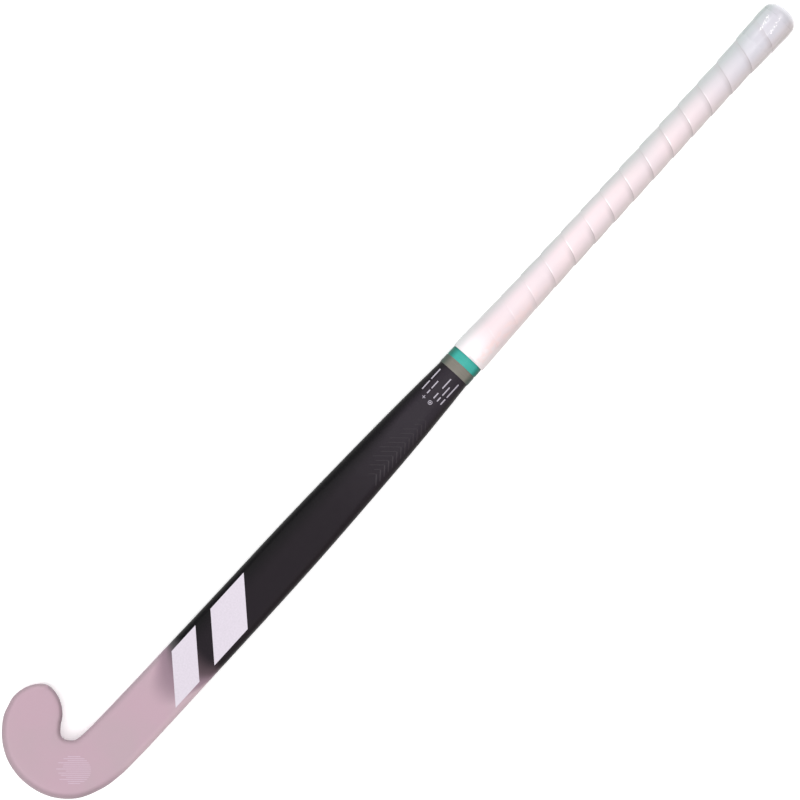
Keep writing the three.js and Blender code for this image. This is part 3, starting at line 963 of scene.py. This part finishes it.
SMALL_ROWS = [  # y, then the start and end of each dash along x
    (11.0, (475.9, 485.6), (487.4, 499.0)),
    (5.4, (475.9, 479.8), (481.6, 489.9)),
    (-1.6, (476.4, 482.4), (487.6, 498.4)),
    (-5.6, (476.4, 481.0), (483.2, 492.4)),
    (-9.6, (476.4, 482.4), (484.4, 499.4)),
]


DASH_WIDTH = 1.05
SIGN_X = 471.7
SIGN_LINE = 0.5  # width of a sign's lines
RING_Y = -1.9
RING_RADIUS = 1.7
DOT_RING = (0.5, 0.6)  # radius and width of the small ring that fills the dot
CROSS_Y = 5.4
CROSS_REACH = (1.7, 1.6)  # along x, along y


def make_small_print():
    """Rows of plain dashes, a cross and a ringed dot, where a stick carries its small print."""
    ink = print_material("small_ink", SMALL_PRINT)
    grids = []
    for y, *dashes in SMALL_ROWS:
        grids += [stroke((start, y), (end, y), DASH_WIDTH) for start, end in dashes]
    grids.append(ring_grid((SIGN_X, RING_Y), RING_RADIUS, SIGN_LINE))
    grids.append(ring_grid((SIGN_X, RING_Y), *DOT_RING))
    reach_x, reach_y = CROSS_REACH
    grids.append(stroke((SIGN_X - reach_x, CROSS_Y), (SIGN_X + reach_x, CROSS_Y), SIGN_LINE))
    grids.append(stroke((SIGN_X, CROSS_Y - reach_y), (SIGN_X, CROSS_Y + reach_y), SIGN_LINE))
    film_piece("print_small_rows", grids, ink)


CHEVRON_COUNT = 13
FIRST_TIP = 458
TIP_SPACING = 5.2
TIP_Y = -9
LONG_ARM = (3.5, 10)  # reach across at the ends of the row, and how much more in its middle
ARM_STAGGER = 3  # every second long arm is this much shorter
LONG_ARM_LEAN = 0.9
LONG_ARM_WIDTH = 0.35
SHORT_ARM = (-7.5, -15.6)  # its far end: x from the tip, y
SHORT_ARM_Y = -9.4
SHORT_ARM_WIDTH = 0.9


def make_tone_lines():
    """Nested chevrons in a charcoal only just lighter than the shaft, widest in the middle of the row."""
    ink = print_material("tone_ink", TONE_PRINT, roughness=0.5)
    grids = []
    for i in range(CHEVRON_COUNT):
        tip = FIRST_TIP - i * TIP_SPACING
        swell = math.sin(math.pi * (i + 0.5) / CHEVRON_COUNT)
        reach = LONG_ARM[0] + LONG_ARM[1] * swell - ARM_STAGGER * (i % 2)
        grids.append(stroke((tip - LONG_ARM_LEAN * reach, TIP_Y + reach), (tip, TIP_Y), LONG_ARM_WIDTH))
        grids.append(stroke((tip + SHORT_ARM[0], SHORT_ARM[1]), (tip, SHORT_ARM_Y), SHORT_ARM_WIDTH))
    film_piece("print_tone_lines", grids, ink)


DISC_MIDDLE = (35.0, 11.0)
DISC_HALF_LENGTH = 15
DISC_HALF_HEIGHT = 12.4
DISC_OFFSETS = np.arange(-11.4, 11.5, 1.75)  # of its lines from its middle
DISC_LINE_WIDTH = 0.55
DISC_WEAR = 0.3  # mean share of a half line that is worn away
DISC_WEAR_STEP = 2.4


def make_heel_disc():
    """A disc of fine parallel lines on the heel, their left ends worn short here and there."""
    ink = print_material("heel_ink", HEEL_PRINT)
    line = np.array([math.cos(HANDLE_ANGLE), -math.sin(HANDLE_ANGLE)])
    across = np.array([-line[1], line[0]])
    grids = []
    for i, offset in enumerate(DISC_OFFSETS):
        half = DISC_HALF_LENGTH * math.sqrt(1 - (offset / DISC_HALF_HEIGHT) ** 2)
        worn = half * DISC_WEAR * (1 + math.sin(DISC_WEAR_STEP * i))
        centre = DISC_MIDDLE + across * offset
        grids.append(stroke(centre - line * (half - worn), centre + line * half, DISC_LINE_WIDTH))
    film_piece("print_heel_disc", grids, ink)


# ---- tapes ----

TAPE_RINGS = 9
TAPE_EDGE_HEIGHT = 0.35  # share of a tape's height that is left at its edges
TAPE_EDGE_RISE = 6
TAPE_CLEARANCE = 0.02  # between the laminate and the tape


def make_tape(name, node, ends, colour, dark, wave):
    """A sleeve of tape. wave bends its edge on the butt side a little, in millimetres."""
    shares = np.linspace(0, 1, TAPE_RINGS)
    cuts = Cuts(shaft_share(ends[0] + shares * (ends[1] - ends[0])))
    bevel = np.minimum(1, TAPE_EDGE_RISE * np.minimum(shares, 1 - shares) + TAPE_EDGE_HEIGHT)
    outer = ring_points(cuts, -TAPE_HEIGHT * bevel)
    inner = ring_points(cuts, -TAPE_CLEARANCE * np.ones(TAPE_RINGS))
    count = outer.shape[1]
    angle = np.arange(count) / count * TURN
    edge = wave * (np.sin(2 * angle + 0.6) + 0.5 * np.sin(5 * angle))
    for grid in (outer, inner):
        grid[:, :, 0] += shares[:, None] ** 4 * edge[None, :]
    rings = np.concatenate([outer, inner[::-1]])
    faces = grid_faces(len(rings), count, close_rows=True, close_columns=True)
    new_piece(name, rings, faces, tape_material(name + "_vinyl", colour, dark), [node])


# ---- wound grip ----

PITCH = 24.9  # one turn of the tape
SEAM_FRONT = 723.7  # a place where the seam crosses the middle of the face side
SEAM_NUMBERS = np.arange(-8, 10)  # the seams, counted from that one, with some past both ends
FRONT_ANGLE = 90  # degrees round the handle from the toe side to the face side
COLUMNS = 144
TURN_PROFILE = [  # share of the way from one seam to the next, height of the tape
    (0, -0.12),
    (0.008, 0.12),
    (0.018, 0.28),
    (0.035, 0.38),
    (0.06, 0.43),
    (0.1, 0.46),
    (0.26, 0.46),
    (0.47, 0.38),
    (0.68, 0.22),
    (0.86, 0.02),
    (0.96, -0.1),
    (1, -0.14),
]
EXTRA_SHARES = [0.17, 0.36, 0.58, 0.78, 0.92, 0.985]  # more points, where the profile is long and straight
PROFILE_SHARES, PROFILE_HEIGHTS = np.array(TURN_PROFILE).T
TURN_POINTS = np.sort(np.concatenate([PROFILE_SHARES, EXTRA_SHARES]))
TURN_HEIGHTS = np.interp(TURN_POINTS, PROFILE_SHARES, PROFILE_HEIGHTS)

# Where along x the ridges of the turns grow to full height and where they end, and the share of the height
# that is there from the first turn on.
RIDGES_GROW = (535, 640)
RIDGES_END = (890, 906)
FIRST_RIDGES = 0.15
FIRST_RIDGES_END = (600, 640)
ROUNDED_EDGE = 0.7  # how much lower the wrap is at its two ends, and over what length
ROUNDED_EDGE_LENGTH = 1.2
CAP_EDGE = 0.04
CAP_EDGE_LENGTH = 0.6
INSIDE_ON_SHELL = np.linspace(WRAP_START, CAP_SKIRT_START - 2, 24)
INSIDE_ON_CAP = np.linspace(CAP_SKIRT_START, WRAP_END, 12)


def grip_size(x):
    return np.interp(x, GRIP[:, 0], GRIP[:, 1]), np.interp(x, GRIP[:, 0], GRIP[:, 2])


def handle_size(x):
    cuts = Cuts(shaft_share(np.minimum(x, SHELL_END)))
    return cuts.half, cuts.depth / 2


def oval(x, wide, deep, angle):
    """Points round the handle. x, wide and deep broadcast against angle."""
    x, wide, deep, angle = np.broadcast_arrays(x, wide, deep, angle)
    middle = -handle_size(x.ravel())[1].reshape(x.shape)
    return np.stack([x, wide * np.cos(angle), middle + deep * np.sin(angle)], axis=-1)


def seam_places(angle_degrees):
    """x of every seam at each angle, cut off at the ends of the wrap: [angle, seam]."""
    turns = (angle_degrees[:, None] - FRONT_ANGLE) / 360
    places = SEAM_FRONT + PITCH * (SEAM_NUMBERS[None, :] - turns)
    waver = 0.5 * np.sin(np.radians(angle_degrees))[:, None] + 0.35 * np.sin(places / 17)
    return np.clip(places + waver, WRAP_START, WRAP_END)


def grip_outside(degrees):
    """Points of the wound outside [angle, point], and how far each is from one seam to the next."""
    seams = seam_places(degrees)
    low, high = seams[:, :-1, None], seams[:, 1:, None]
    x = low + (high - low) * TURN_POINTS
    width = np.clip((high - low) / PITCH, 0, 1)
    swell = width * smoothstep(x, *RIDGES_GROW) * (1 - smoothstep(x, *RIDGES_END))
    swell = np.maximum(swell, FIRST_RIDGES * width * (1 - smoothstep(x, *FIRST_RIDGES_END)))
    rim = ROUNDED_EDGE * (1 - smoothstep(x, WRAP_START, WRAP_START + ROUNDED_EDGE_LENGTH))
    rim = rim + CAP_EDGE * smoothstep(x, WRAP_END - CAP_EDGE_LENGTH, WRAP_END)
    lift = TURN_HEIGHTS * swell - rim
    wide, deep = grip_size(x.ravel())
    angle = np.radians(degrees)[:, None, None]
    points = oval(x, wide.reshape(x.shape) + lift, deep.reshape(x.shape) + lift, angle)
    turn = np.broadcast_to(TURN_POINTS, x.shape)
    return points.reshape(len(degrees), -1, 3), turn.reshape(len(degrees), -1)


def grip_inside(degrees):
    """Points of the smooth inside [angle, point]: on the shell, over the end of the tape, then on the cap."""
    x = np.concatenate([INSIDE_ON_SHELL, INSIDE_ON_CAP])
    shell_wide, shell_deep = handle_size(x)
    grip_wide, grip_deep = grip_size(x)
    on_shell = x < CAP_SKIRT_START
    over_tape = TAPE_HEIGHT * (1 - smoothstep(x, FINISHING_TAPE[1] + 0.5, FINISHING_TAPE[1] + 3))
    wide = np.where(on_shell, shell_wide + GAP / 2 + over_tape, grip_wide - WRAP_THICKNESS)
    deep = np.where(on_shell, shell_deep + GAP / 2 + over_tape, grip_deep - WRAP_THICKNESS)
    return oval(x[None, :], wide[None, :], deep[None, :], np.radians(degrees)[:, None])


def make_grip():
    degrees = FRONT_ANGLE + np.linspace(0, 360, COLUMNS + 1)
    outer, turn = grip_outside(degrees)
    inner = grip_inside(degrees)
    points = np.concatenate([outer, inner[:, ::-1]], axis=1)
    turns = np.concatenate([turn, np.full(inner.shape[:2], 0.5)], axis=1)
    faces = grid_faces(len(degrees), points.shape[1], close_columns=True)
    grip = new_piece(
        "wound_grip",
        points,
        faces,
        grip_material(),
        ["grip_wrap"],
        sharp_angle=math.radians(50),
        extra={"turn": turns},
    )


# ---- butt cap ----


CAP_COLUMNS = 96
CAP_SOCKET_MIDDLE = 896
DIMPLE = [(2.6, 0), (2.2, -0.1), (1.9, -0.5), (0.9, -0.6)]  # in the cap's end: radius, height


def make_cap():
    """The socket round the handle, the skirt under the wrap, the dome and the small dimple in its end."""
    angles = np.linspace(0, TURN, CAP_COLUMNS + 1)[:-1]
    rings = []

    def add_ring(x, wide, deep):
        rings.append(oval(np.array(float(x)), wide, deep, angles))

    for x in (CAP_FLOOR, CAP_SOCKET_MIDDLE, CAP_SKIRT_START):
        wide, deep = (float(v[0]) for v in handle_size(np.array([float(x)])))
        add_ring(x, wide + GAP, deep + GAP)
    for x in np.linspace(CAP_SKIRT_START, CAP_DOME_START, 16):
        wide, deep = grip_size(x)
        add_ring(x, wide - WRAP_THICKNESS - GAP, deep - WRAP_THICKNESS - GAP)
    rim_wide, rim_deep = grip_size(CAP_DOME_START)
    for angle in np.linspace(0, TURN / 4, 18):
        share = math.cos(angle)
        x = mix(CAP_DOME_START, STICK_LENGTH, math.sin(angle))
        add_ring(x, mix(CAP_FLAT_RADIUS, rim_wide, share), mix(CAP_FLAT_RADIUS, rim_deep, share))
    for radius, height in DIMPLE:
        add_ring(STICK_LENGTH + height, radius, radius)
    points, faces = tipped_rings(rings[0].mean(0), np.array(rings), rings[-1].mean(0))
    new_piece("cap", points, faces, cap_material(), ["butt_cap"])


# ---- hidden pieces, which stay the CAD's ----


CORES = ["shaft_core_toe_side", "shaft_core_heel_side"]
HIDDEN_FINISHES = [  # material, colour, darker grain, scale of the grain, roughness, the pieces it is on
    ("core_foam", (232, 224, 198), (214, 204, 174), 900, 0.9, CORES),
    ("cast_core", (196, 182, 138), (170, 154, 108), 500, 0.7, ["head_core"]),
    ("aramid_weave", (214, 176, 62), (186, 146, 40), 1200, 0.6, ["heel_ply"]),
    ("bare_laminate", (38, 38, 40), (26, 26, 28), 700, 0.45, ["centre_rib"]),
    ("plug_plastic", (58, 58, 62), (44, 44, 48), 800, 0.7, ["butt_plug"]),
]


def dress_hidden():
    for name, colour, dark, scale, roughness, pieces in HIDDEN_FINISHES:
        material = hidden_material(name, linear(*colour), linear(*dark), scale, roughness)
        for piece in pieces:
            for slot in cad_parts[piece].material_slots:
                slot.material = material


# ---- floor and light ----


FLOOR_REACH = 8.0  # metres from its middle to its sides
FLOOR_DROP = 0.0003  # how far below the stick it lies, in metres


def make_stage():
    """A plain pale floor, lit a little from within so that it stays white."""
    mesh = bpy.data.meshes.new("floor")
    corners = [(x * FLOOR_REACH, y * FLOOR_REACH, 0) for x, y in ((-1, -1), (1, -1), (1, 1), (-1, 1))]
    mesh.from_pydata(corners, [], [(0, 1, 2, 3)])
    floor = bpy.data.objects.new("floor", mesh)
    bpy.context.scene.collection.objects.link(floor)
    n = Nodes("floor_white")
    mesh.materials.append(n.finish(linear(250, 250, 250), 0.95, specular=0.1))
    n.shader.inputs["Emission Color"].default_value = (1, 1, 1, 1)
    n.shader.inputs["Emission Strength"].default_value = 0.25
    floor.location.z = -FLOOR_DROP


def make_light(name, sideways, lengthways, distance, size, power, colour, over):
    """A soft box over a point of the straight stick, or over the middle of the frame if over is None.

    Its two angles, in degrees, lead from the camera to the toe side and to the butt.
    """
    aim = Vector((0, 0, 0)) if over is None else Vector(to_row(np.array(over)))
    sideways, lengthways = math.radians(sideways), math.radians(lengthways)
    towards = (
        TOWARDS_CAMERA * math.cos(sideways) * math.cos(lengthways)
        + VIEW_TOE_SIDE * math.sin(sideways) * math.cos(lengthways)
        + VIEW_HANDLE * math.sin(lengthways)
    )
    across = VIEW_HANDLE.cross(towards).normalized()
    along = towards.cross(across)
    data = bpy.data.lights.new(name, "AREA")
    data.shape = "RECTANGLE"
    data.size, data.size_y = size
    data.energy = power
    data.color = colour
    light = bpy.data.objects.new(name, data)
    rotation = Matrix((across, along, across.cross(along))).transposed().to_4x4()
    light.matrix_world = Matrix.Translation(aim + towards * distance) @ rotation
    bpy.context.scene.collection.objects.link(light)


COOL = (0.86, 1.0, 1.0)
WARM = (1.0, 0.9, 0.86)
SKY_STRENGTH = 0.2
WHITE = (1, 1, 1)
LIGHTS = [  # name, angles to the toe side and the butt, distance, size, power, colour, what it is over
    ("key", 0, -20, 4.5, (3.2, 4.4), 228, WHITE, None),
    ("cool_fill", 62, 0, 2.5, (1.5, 2.0), 3, COOL, None),
    ("warm_fill", -62, 0, 2.5, (1.5, 2.0), 6, WARM, None),
    ("butt_strip_toe_side", 40, 0, 0.6, (0.012, 0.16), 0.4, WHITE, (904, 0, 0)),
    ("butt_strip_heel_side", -16, 0, 0.6, (0.012, 0.12), 0.3, WHITE, (900, 0, 0)),
    ("butt_fill", 0, 52, 2.2, (1.2, 1.2), 14, WHITE, None),
]


def make_lights():
    world = bpy.data.worlds.new("studio")
    world.use_nodes = True
    world.node_tree.nodes["Background"].inputs[0].default_value = (1, 1, 1, 1)
    world.node_tree.nodes["Background"].inputs[1].default_value = SKY_STRENGTH
    bpy.context.scene.world = world
    for light in LIGHTS:
        make_light(*light)
    bpy.context.scene.view_settings.view_transform = "Standard"


make_stage()
make_lights()
make_shell()
make_big_print()
make_small_print()
make_tone_lines()
make_heel_disc()
make_tape("grey_band", "collar_tape", COLLAR_TAPE, GREY_TAPE, GREY_TAPE_SIDE_SHADE, wave=0.05)
make_tape("teal_band", "finishing_tape", FINISHING_TAPE, TEAL_TAPE, TEAL_TAPE_SIDE_SHADE, wave=0.1)
make_grip()
make_cap()
dress_hidden()
